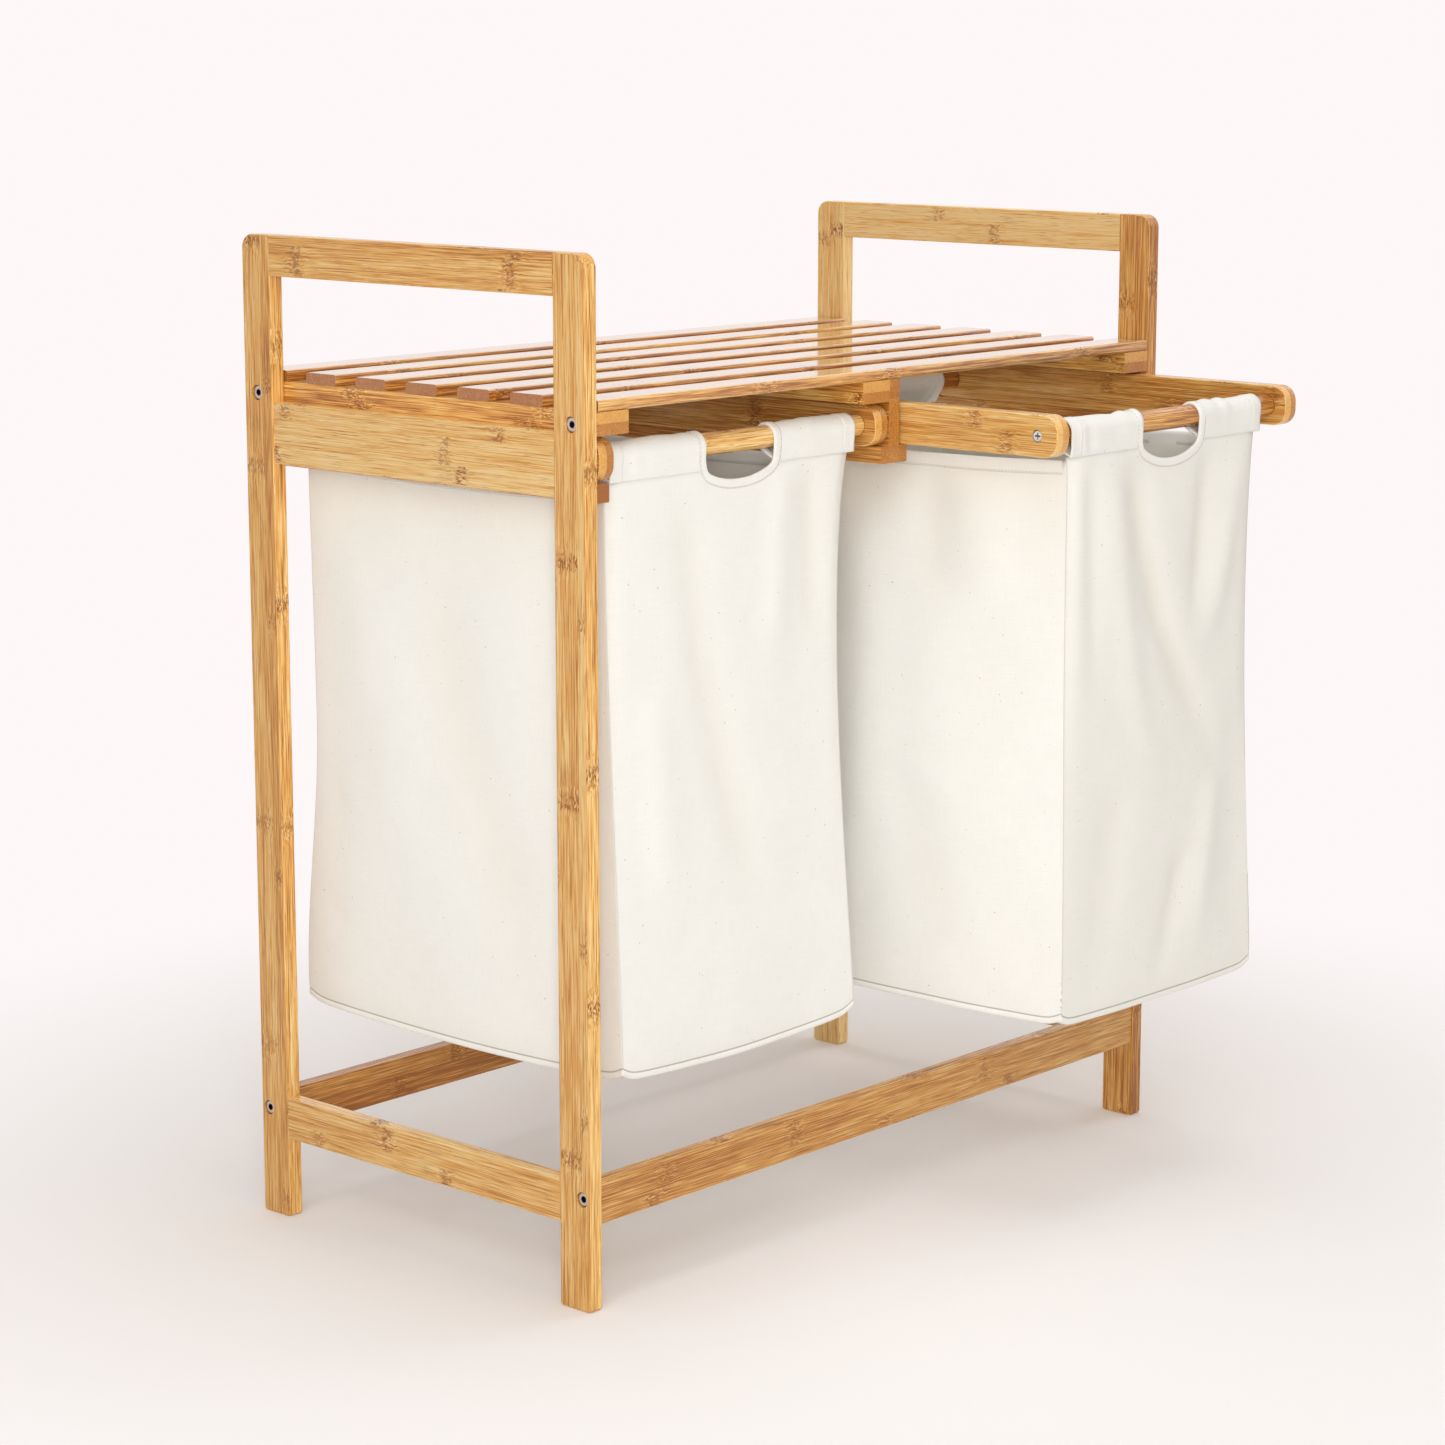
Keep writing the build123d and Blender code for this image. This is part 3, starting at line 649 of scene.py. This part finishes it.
class Sheet:
    """Collects grids of points into one mesh: UVs in metres, and painted shade values at each
    point.
    """

    def __init__(self):
        self.points, self.faces, self.uvs, self.parts = [], [], [], []
        self.values = {"seam": [], "painted_shade": []}

    def grid(self, points, seam=0.0, painted_shade=0.0, closed=False):
        """Adds a grid of shape (rows, columns, 3)."""
        rows, cols, _ = points.shape
        start, first = len(self.points), len(self.faces)
        run = np.zeros((rows, cols))
        rise = np.zeros((rows, cols))
        run[:, 1:] = np.cumsum(np.linalg.norm(np.diff(points, axis=1), axis=2), axis=1)
        rise[1:, :] = np.cumsum(np.linalg.norm(np.diff(points, axis=0), axis=2), axis=0)
        run -= run[:, [cols // 2]]
        self.points += points.reshape(-1, 3).tolist()
        self.uvs += np.stack([run, rise], 2).reshape(-1, 2).tolist()
        for name, value in (("seam", seam), ("painted_shade", painted_shade)):
            self.values[name] += np.broadcast_to(value, (rows, cols)).ravel().tolist()
        for r in range(rows - 1):
            upper, lower = start + r * cols, start + (r + 1) * cols
            for c in range(cols if closed else cols - 1):
                d = (c + 1) % cols
                self.faces.append([upper + c, upper + d, lower + d, lower + c])
        self.parts.append(slice(first, len(self.faces)))

    def build(self, name, middle, material, thickness=None):
        mesh = bpy.data.meshes.new(name)
        shift = np.array([middle[0], middle[1], 0.0])
        mesh.from_pydata(((np.array(self.points) + shift) * MM).tolist(), [], self.faces)
        layer = mesh.uv_layers.new(name="UVMap")
        loops = np.zeros(len(mesh.loops), int)
        mesh.loops.foreach_get("vertex_index", loops)
        layer.data.foreach_set("uv", (np.array(self.uvs)[loops] * MM).ravel())
        for key, values in self.values.items():
            attribute = mesh.attributes.new(key, "FLOAT", "POINT")
            attribute.data.foreach_set("value", np.array(values, np.float32))
        mesh.polygons.foreach_set("use_smooth", [True] * len(mesh.polygons))
        mesh.materials.append(material)
        piece = bpy.data.objects.new(name, mesh)
        bpy.context.scene.collection.objects.link(piece)
        if thickness:
            solid = piece.modifiers.new("cloth", "SOLIDIFY")
            solid.thickness = thickness * MM
            solid.offset = -1.0
        return piece


def bag_shape(bag):
    """Functions of height for the four upright lines, flared at the top and drawn in below."""
    lines = {key: curve(bag[key]) for key in ("left", "right", "front", "rear")}

    def drawn_in(key, z):
        sign = -1.0 if key in ("left", "front") else 1.0
        flared = bag["flare"].get(key, 0.0) * np.exp(-np.maximum(TOP_Z - z, 0.0) / FLARE_HEIGHT)
        above = np.maximum(z, GATHER_Z) - GATHER_Z
        return lines[key](z) + sign * (flared - GATHER * np.exp(-above / GATHER_HEIGHT))

    return {key: (lambda z, key=key: drawn_in(key, z)) for key in lines}


def cut_out(bag, x):
    """Height of the hand cut-out's edge."""
    share = np.clip(np.abs(x) / CUT_HALF, 0, 1)
    return bag["cut_z"] + (CREASE_Z - bag["cut_z"]) * share ** 2.3


def corner_curl(z, end):
    """How far the upright seams of an end panel are drawn in along Y, most at the top."""
    curl = CURL[end]
    return curl["depth"] * ease((z - curl["start"]) / curl["rise"])


def painted_fold_shade(folds):
    """Share of painted warm shade that the sunken side of a fold gets."""
    return np.clip(-folds / 5.0, 0, 1)


def lower_edge(levels, share, places):
    """Heights of a panel's lower edge, which rises at both ends to round the bag's corners."""
    corner_z, middle_z = levels
    reach = np.minimum(places - places[0], places[-1] - places)
    lift = LIFT * np.exp(-(reach / LIFT_REACH) ** 1.5)
    return corner_z + (middle_z - corner_z) * (1 - (2 * share - 1) ** 2) + lift


def near_ends(x, width):
    """1 at both ends of each row, falling off within a width."""
    return np.exp(-((x - x[:, :1]) / width) ** 2) + np.exp(-((x - x[:, -1:]) / width) ** 2)


def held_folds(folds, a, z, share):
    """Depth of a panel's folds, held flat at its upright seams."""
    return creases(folds, a, z) * np.minimum(1.0, 6.0 * np.minimum(share, 1 - share))


def end_panel(bag, name, end):
    """Points, painted seam shade and painted fold shade of the front or rear panel, top row first.
    """
    shape = bag_shape(bag)
    top_left, top_right = shape["left"](TOP_Z), shape["right"](TOP_Z)
    x_top = columns(top_left, top_right, (top_left, -CUT_HALF, CUT_HALF, top_right), END_STEP)
    share = (x_top - top_left) / (top_right - top_left)
    top = np.where(np.abs(x_top) < CUT_HALF, cut_out(bag, x_top), CREASE_Z)
    bottom = lower_edge(bag["bottom_end"], share, x_top)
    steps = np.concatenate([np.linspace(0, 0.03, 4)[:-1], np.linspace(0.03, 0.985, 68), LOW_STEPS])
    z = top + (bottom + SEAM_Z - top) * steps[:, None]
    x = shape["left"](z) + share * (shape["right"](z) - shape["left"](z))
    inner = np.sin(np.pi * share)
    fall = np.clip((CREASE_Z - z) / (CREASE_Z - BOTTOM_Z), 0, 1)
    belly = END_BELLY * np.sin(np.pi * fall) * inner
    uneven = UNEVEN * ripple(x, z, bag["seed"] + 3.0 * (end + 1)) * inner
    folds = uneven * np.minimum(1.0, fall * 8.0) + held_folds(bag["end_folds"], x, z, share)
    curled = corner_curl(z, end) * near_ends(x, CURL_REACH)
    y = shape[name](z) + end * (belly + folds - curled)
    # Painted shade along the upright seams
    seam = SEAM_SHADE * near_ends(x, SEAM_WIDTH)
    # Painted shade in the folds, or over the whole panel where end_shade is set
    return np.stack([x, y, z], 2), seam, np.maximum(painted_fold_shade(folds), bag["end_shade"])


def side_panel(bag, name, side):
    """Points, painted seam shade, and painted shade in folds and below the shelf of the left or
    right panel, top row first.
    """
    shape = bag_shape(bag)

    def edges(z):
        return shape["front"](z) + corner_curl(z, -1), shape["rear"](z) - corner_curl(z, 1)

    top_front, top_rear = edges(SIDE_CORNER_Z)
    y_top = columns(top_front, top_rear, (top_front, top_rear), SIDE_STEP)
    share = (y_top - top_front) / (top_rear - top_front)
    top = SIDE_TOP_Z - SIDE_SAG * (1 - (2 * share - 1) ** 2)
    bottom = lower_edge(bag["bottom_side"], share, y_top)
    steps = np.concatenate([np.linspace(0, 0.985, 70), LOW_STEPS])
    z = top + (bottom + SEAM_Z - top) * steps[:, None]
    front, rear = edges(z)
    y = front + share * (rear - front)
    inner = np.sin(np.pi * share)
    fall = np.clip((SIDE_TOP_Z - z) / (SIDE_TOP_Z - BOTTOM_Z), 0, 1)
    belly = SIDE_BELLY * np.sin(np.pi * 0.9 * fall) - SIDE_DIP * np.exp(-fall * 9.0)
    uneven = UNEVEN * ripple(y + 400.0, z, bag["seed"] + 1.7 * side + 5.0) * inner
    folds = uneven + held_folds(bag["side_folds"], y, z, share)
    x = shape[name](z) + side * (belly * inner + folds)
    # Painted shade in the folds and below the shelf
    under_shelf = SHELF_SHADE * ease((z - SHELF_SHADE_Z) / SHELF_SHADE_RISE)
    return np.stack([x, y, z], 2), np.zeros_like(x), np.maximum(painted_fold_shade(folds), under_shelf)


def finish_panel(points, seam, painted_shade, axis):
    """Adds the painted shade line along the panel's lower seam and the rim below it."""
    rows = len(points)
    edge = points[-1]
    away = -edge[:, :2]
    away[:, 1 - axis] = 0.0
    away = away / np.maximum(np.linalg.norm(away, axis=1, keepdims=True), 1e-6)
    under = []
    for drop, inset in UNDER:
        moved = edge.copy()
        moved[:, :2] += away * inset
        moved[:, 2] -= drop
        under.append(moved)
    below = ((0, len(under)), (0, 0))
    line = np.pad(seam, below)
    for row, shade in zip((rows - 1, rows), LOWER_SEAM_SHADE):
        line[row] = np.maximum(line[row], shade)
    return np.concatenate([points, np.array(under)], 0), line, np.pad(painted_shade, below, mode="edge")


def make_bag(name, bag):
    sheet = Sheet()
    rims = {}
    for key, end in (("front", -1), ("rear", 1)):
        parts = finish_panel(*end_panel(bag, key, end), 1)
        rims[key] = parts[0][-1]
        sheet.grid(*(part[:, ::-1] if end > 0 else part for part in parts))
    for key, side in (("left", -1), ("right", 1)):
        parts = finish_panel(*side_panel(bag, key, side), 0)
        rims[key] = parts[0][-1]
        sheet.grid(*(part[:, ::-1] if side < 0 else part for part in parts))
    sheet.grid(floor_panel(rims))
    piece = sheet.build(f"{name}_bag", bag["middle"], canvas, CLOTH)
    face_from_middle(piece, sheet.parts)
    return piece


def floor_panel(rims):
    """Bottom panel between the four rims, hanging a little in the middle."""
    x_low, x_high = rims["left"][:, 0].mean(), rims["right"][:, 0].mean()
    y_low, y_high = rims["front"][:, 1].mean(), rims["rear"][:, 1].mean()
    uu, vv = np.meshgrid(np.linspace(0, 1, 30), np.linspace(0, 1, 36))
    x = x_low + uu * (x_high - x_low)
    y = y_low + vv * (y_high - y_low)

    def edge_height(rim, axis, values):
        order = np.argsort(rim[:, axis])
        return np.interp(values, rim[order, axis], rim[order, 2])

    z = ((1 - vv) * edge_height(rims["front"], 0, x) + vv * edge_height(rims["rear"], 0, x)
         + (1 - uu) * edge_height(rims["left"], 1, y) + uu * edge_height(rims["right"], 1, y)) / 2
    z = z + 0.5 - 3.0 * np.sin(np.pi * uu) * np.sin(np.pi * vv)
    return np.stack([x, y, z], 2)[:, ::-1]


def face_from_middle(piece, parts):
    """Turns each grid so that, taken together, its faces look away from the bag's middle."""
    work = bmesh.new()
    work.from_mesh(piece.data)
    work.faces.ensure_lookup_table()
    middle = sum((v.co for v in work.verts), start=Vector()) / len(work.verts)
    for part in parts:
        faces = work.faces[part]
        shown = sum((f.calc_center_median() - middle).dot(f.normal) * f.calc_area() for f in faces)
        if shown < 0:
            bmesh.ops.reverse_faces(work, faces=faces)
    work.to_mesh(piece.data)
    work.free()


def drop_profile(crease_out):
    """Loop round a dowel: share of its length, and the (out, up) place and normal there.

    It starts at the lower crease and goes over the outside first.
    """
    crease = np.array([crease_out, CREASE_Z - LOOP_Z])
    spread = math.acos(LOOP_RADIUS / np.linalg.norm(crease))
    down = math.atan2(crease[1], crease[0])
    angles = np.linspace(down + spread, down - spread + 2 * math.pi, 80)
    arc = np.stack([np.cos(angles), np.sin(angles)], 1)
    points = np.concatenate([[crease], arc * LOOP_RADIUS, [crease]])
    normals = np.concatenate([arc[:1], arc, arc[-1:]])
    run = run_along(points)
    return run / run[-1], points, normals


PROFILE = {end: drop_profile(out) for end, out in CREASE_OUT.items()}


def loop(turn, end, swell=0.0):
    """Point (y, z) of a sleeve's loop. Turn 0 is its lower crease, and the outside comes first."""
    run, points, normals = PROFILE[end]
    share = turn / (2 * math.pi)
    out, up = (np.interp(share, run, points[:, i]) + swell * np.interp(share, run, normals[:, i])
               for i in (0, 1))
    return end * (DOWEL_Y + out), LOOP_Z + up


def sleeve_swell(bag, end, x, turn, in_hem):
    """How far a sleeve's cloth stands off its loop: fine wrinkles, slow waves and the hem."""
    wrinkles = np.sin(x / 4.1 + 1.3 * np.sin(x / 9.0 + end) + 0.8 * np.sin(turn) + bag["seed"])
    swell = bag["wrinkle"] * wrinkles
    swell *= 0.55 + 0.45 * np.sin(turn * 1.5 + x / 17.0)
    swell += 0.4 * np.sin(x / 13.0 + 2 * np.sin(turn) + bag["seed"] * 2 + end)
    swell += np.where(in_hem, 0.5, 0.0)
    return swell * ease(np.minimum(turn, 2 * math.pi - turn) / 0.6)


def make_sleeves(name, bag):
    sheet = Sheet()
    full = 2 * math.pi
    turns = np.concatenate([[0.0], np.linspace(0.15, full - 0.15, 46), [full - 0.02]])
    left, right = bag["loop_ends"]
    for end in (-1, 1):
        for low, high in ((left, -CUT_HALF), (CUT_HALF, right)):
            outer = low if low < 0 else high
            hem_line = outer + math.copysign(SLEEVE_HEM, -outer)
            xx, tt = np.meshgrid(columns(low, high, (hem_line,), SLEEVE_STEP), turns, indexing="ij")
            in_hem = np.abs(xx - outer) < SLEEVE_HEM
            y, z = loop(tt, end, sleeve_swell(bag, end, xx, tt, in_hem))
            # Painted shade line along the sleeve's hem
            line = 0.15 * np.exp(-((xx - hem_line) / 0.6) ** 2)
            sheet.grid(np.stack([xx, y, z], 2), line)
    piece = sheet.build(f"{name}_bag_sleeves", bag["middle"], canvas, CLOTH)
    face_from_dowels(piece, bag)
    return piece


def face_from_dowels(piece, bag):
    """Makes the sleeves' faces look away from the dowel inside them."""
    work = bmesh.new()
    work.from_mesh(piece.data)
    middle_y = bag["middle"][1]
    wrong = []
    for face in work.faces:
        centre = face.calc_center_median() / MM
        axis_y = middle_y + math.copysign(DOWEL_Y, centre.y - middle_y)
        if face.normal.y * (centre.y - axis_y) + face.normal.z * (centre.z - LOOP_Z) < 0:
            wrong.append(face)
    bmesh.ops.reverse_faces(work, faces=wrong)
    work.to_mesh(piece.data)
    work.free()


def path_of_cut(end, panel):
    """The cut-out's edge from one sleeve's back, along the panel, to the other sleeve's back.

    For each point it gives the point, the way into the cloth and the cloth's normal.
    """
    turns = np.linspace(2 * math.pi - 0.5, 0.5, 30)
    y, z = loop(turns, end)
    y_more, z_more = loop(turns, end, 1.0)
    normal = np.stack([np.zeros_like(y), y_more - y, z_more - z], 1)
    rings = []
    for side in (-1, 1):
        ring = np.stack([np.full_like(y, side * CUT_HALF), y, z], 1)
        into = np.tile([side * 1.0, 0, 0], (len(y), 1))
        rings.append([part[::-side] for part in (ring, into, normal)])
    top = panel[0]
    arc = top[np.abs(top[:, 0]) < CUT_HALF - 1.0]
    outward = np.tile([0.0, float(end), 0.0], (len(arc), 1))
    into = np.cross(np.gradient(arc, axis=0), outward)
    into *= np.where(into[:, 2:3] > 0, -1, 1)
    return [np.concatenate(part) for part in zip(rings[0], (arc, into, outward), rings[1])]


def even_path(points, inward, normals, step):
    """The same path with even steps and its corners smoothed."""
    run = run_along(points)
    places = np.arange(0, run[-1], step)
    kernel = np.hanning(9) / np.hanning(9).sum()
    smooth = []
    for part in (points, unit(inward), unit(normals)):
        part = at_places(places, run, part)
        padded = np.concatenate([np.repeat(part[:1], 4, 0), part, np.repeat(part[-1:], 4, 0)])
        smooth.append(np.stack([np.convolve(padded[:, i], kernel, "valid") for i in range(3)], 1))
    return smooth[0], unit(smooth[1]), unit(smooth[2])


def tape(sheet, width, points, inward, normals):
    """Folded tape along a path, with a line of painted shade along both of its free edges."""
    rows = [points + inward * share * width + normals * over for share, over in TAPE]
    seam = np.zeros((len(points), len(TAPE)))
    seam[:, :2] = 0.45
    seam[:, -1] = 0.15
    sheet.grid(np.stack(rows, 1), seam, closed=True)


def stitches(sheet, width, points, inward, normals):
    """Row of single stitches on a tape of that width along a path with even steps."""
    line = points + inward * (STITCH_PLACE * width) + normals * STITCH_OVER
    run = run_along(line)
    sink = np.array([-0.5, 0.0, 0.25, 0.0, -0.5])[:, None] * STITCH_RADIUS
    size = np.array([0.3, 0.9, 1.0, 0.9, 0.3])[:, None] * STITCH_RADIUS
    angles = np.linspace(0, 2 * math.pi, 6, endpoint=False)
    for start in np.arange(1.0, run[-1] - STITCH_LENGTH, STITCH_PITCH):
        places = start + np.array([0, 0.18, 0.5, 0.82, 1.0]) * STITCH_LENGTH
        centre = at_places(places, run, line)
        up = unit(at_places(places, run, normals))
        across = np.cross(unit(np.gradient(centre, axis=0)), up)
        ring = [centre + up * (sink + size * math.sin(a)) + across * size * math.cos(a)
                for a in angles]
        sheet.grid(np.stack(ring, 1), closed=True)


def make_trim(name, bag):
    """Bindings of the cut-outs, hems of the side panels, and their stitching."""
    paths = []
    for key, end in (("front", -1), ("rear", 1)):
        panel = end_panel(bag, key, end)[0]
        paths.append((BINDING, even_path(*path_of_cut(end, panel), BINDING_STEP)))
    for key, side in (("left", -1), ("right", 1)):
        panel = side_panel(bag, key, side)[0]
        edge = panel[0][2:-2]
        down = panel[3][2:-2] - edge
        normal = np.tile([float(side), 0.0, 0.0], (len(edge), 1))
        paths.append((HEM, even_path(edge, down, normal, HEM_STEP)))
    tapes, threads = Sheet(), Sheet()
    for width, path in paths:
        tape(tapes, width, *path)
        stitches(threads, width, *path)
    binding = tapes.build(f"{name}_bag_binding", bag["middle"], canvas)
    stitching = threads.build(f"{name}_bag_stitching", bag["middle"], stitch_thread)
    for piece in (binding, stitching):
        face_outwards(piece)
    return binding, stitching


def face_outwards(piece):
    """Lets closed rings face outwards."""
    work = bmesh.new()
    work.from_mesh(piece.data)
    bmesh.ops.recalc_face_normals(work, faces=work.faces)
    work.to_mesh(piece.data)
    work.free()


PANELS = ("front_panel", "rear_panel", "left_panel", "right_panel", "bottom")
for name, bag in BAGS.items():
    body = f"{name}_carrier"
    cloth = make_bag(name, bag)
    sleeves = make_sleeves(name, bag)
    binding, stitching = make_trim(name, bag)
    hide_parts(*(f"{name}_bag_{part}" for part in PANELS))
    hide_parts(f"{name}_bag_front_sleeves", f"{name}_bag_rear_sleeves")
    for piece in (cloth, sleeves, binding, stitching):
        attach(piece, body)


# Floor, light and camera, in metres

BACKDROP = (0.985, 0.932, 0.938)
FLOOR_REACH = 14.0
FLOOR_FADE = (0.42, 1.0)
WORLD_LIGHT, WORLD_STRENGTH = (1.0, 0.935, 0.830), 0.42

# Softboxes: place, aim, size, power in watts, colour
AIM = (0.0, 0.0, 0.35)
LAMPS = {
    "key": ((-1.5, -2.31, 2.2), AIM, 2.4, 12.0, (0.965, 0.99, 1.0)),
    "side": ((-2.56, -1.48, 1.5), AIM, 2.0, 25.0, (0.965, 0.99, 1.0)),
    "low": ((-2.15, -1.95, 0.93), (0.0, 0.0, 0.45), 0.5, 19.0, (1.0, 0.955, 0.88)),
    "fill": ((2.7, -0.5, 1.5), AIM, 2.0, 11.0, (0.98, 0.99, 1.0)),
    "back": ((0.7, 2.9, 1.4), AIM, 2.0, 12.0, (0.98, 0.985, 1.0)),
    "overhead": ((0.1, -0.1, 2.5), (0.05, 0.0, 0.5), 1.6, 16.5, (0.98, 0.985, 1.0)),
}

# Camera that was solved from the photo's post corners, with its focal length in pixels
PHOTO_PIXELS = 1445.0
FOCAL_PIXELS = 3695.0
SENSOR_MM = 36.0
CAMERA_PLACE = (-2.0507, -1.8622 + FRAME_Y, 0.8793)
CAMERA_YAW, CAMERA_PITCH = math.radians(-47.789), math.radians(10.878)


def seen_directly(net):
    """1 for what the camera sees, also by reflection or through glass."""
    path = net.node("LightPath").outputs
    return net.math("MAXIMUM", path["Is Camera Ray"], net.math(
        "MAXIMUM", path["Is Glossy Ray"], path["Is Transmission Ray"]))


def make_floor():
    """Pale floor that goes over to the backdrop's colour away from the object."""
    mesh = bpy.data.meshes.new("floor")
    square = ((-1, -1), (1, -1), (1, 1), (-1, 1))
    corners = [(x * FLOOR_REACH, y * FLOOR_REACH, 0) for x, y in square]
    mesh.from_pydata(corners, [], [(0, 1, 2, 3)])
    piece = bpy.data.objects.new("floor", mesh)
    bpy.context.scene.collection.objects.link(piece)
    material, net, shader = new_material("floor")
    place = net.node("TexCoord").outputs["Object"]
    cloud = net.noise(place, scale=3.0, detail=2.0)
    shade = net.ramp(cloud, [(0.3, (0.955, 0.936, 0.950)), (0.7, (0.965, 0.946, 0.960))])
    connect(net, shader, base_color=shade, roughness=0.95, specular_ior_level=0.0)
    far = net.math("MULTIPLY", net.fade(net.length(place), *FLOOR_FADE), seen_directly(net))
    backdrop = net.node("Emission", {"Color": (*BACKDROP, 1.0), "Strength": 1.0})
    mixed = net.node("MixShader", {0: far, 1: shader.outputs[0], 2: backdrop.outputs[0]})
    net.give(net.tree.nodes["Material Output"].inputs["Surface"], mixed.outputs[0])
    mesh.materials.append(material)


def make_world():
    """Warm even light, behind which the camera sees the backdrop."""
    world = bpy.data.worlds.new("studio")
    bpy.context.scene.world = world
    world.use_nodes = True
    world.node_tree.nodes.clear()
    net = Net(world.node_tree)
    light = net.node("Background", {"Color": (*WORLD_LIGHT, 1.0), "Strength": WORLD_STRENGTH})
    backdrop = net.node("Background", {"Color": (*BACKDROP, 1.0), "Strength": 1.0})
    mixed = net.node("MixShader", {0: seen_directly(net), 1: light.outputs[0],
                                   2: backdrop.outputs[0]})
    net.node("OutputWorld", {"Surface": mixed.outputs[0]})


def add_softbox(name, place, aim, size, power, colour):
    lamp = bpy.data.lights.new(name, "AREA")
    lamp.shape = "SQUARE"
    lamp.size = size
    lamp.energy = power
    lamp.color = colour
    piece = bpy.data.objects.new(name, lamp)
    bpy.context.scene.collection.objects.link(piece)
    piece.location = place
    piece.rotation_mode = "QUATERNION"
    piece.rotation_quaternion = (Vector(place) - Vector(aim)).to_track_quat("Z", "Y")


def make_camera():
    data = bpy.data.cameras.new("camera")
    data.sensor_fit = "HORIZONTAL"
    data.sensor_width = SENSOR_MM
    data.lens = SENSOR_MM * FOCAL_PIXELS / PHOTO_PIXELS
    piece = bpy.data.objects.new("camera", data)
    bpy.context.scene.collection.objects.link(piece)
    turn = (Matrix.Rotation(CAMERA_YAW, 4, "Z")
            @ Matrix.Rotation(math.pi / 2 - CAMERA_PITCH, 4, "X"))
    piece.matrix_world = Matrix.Translation(CAMERA_PLACE) @ turn
    bpy.context.scene.camera = piece


make_floor()
make_world()
for name, lamp in LAMPS.items():
    add_softbox(name, *lamp)
make_camera()
bpy.context.scene.view_settings.view_transform = "Standard"
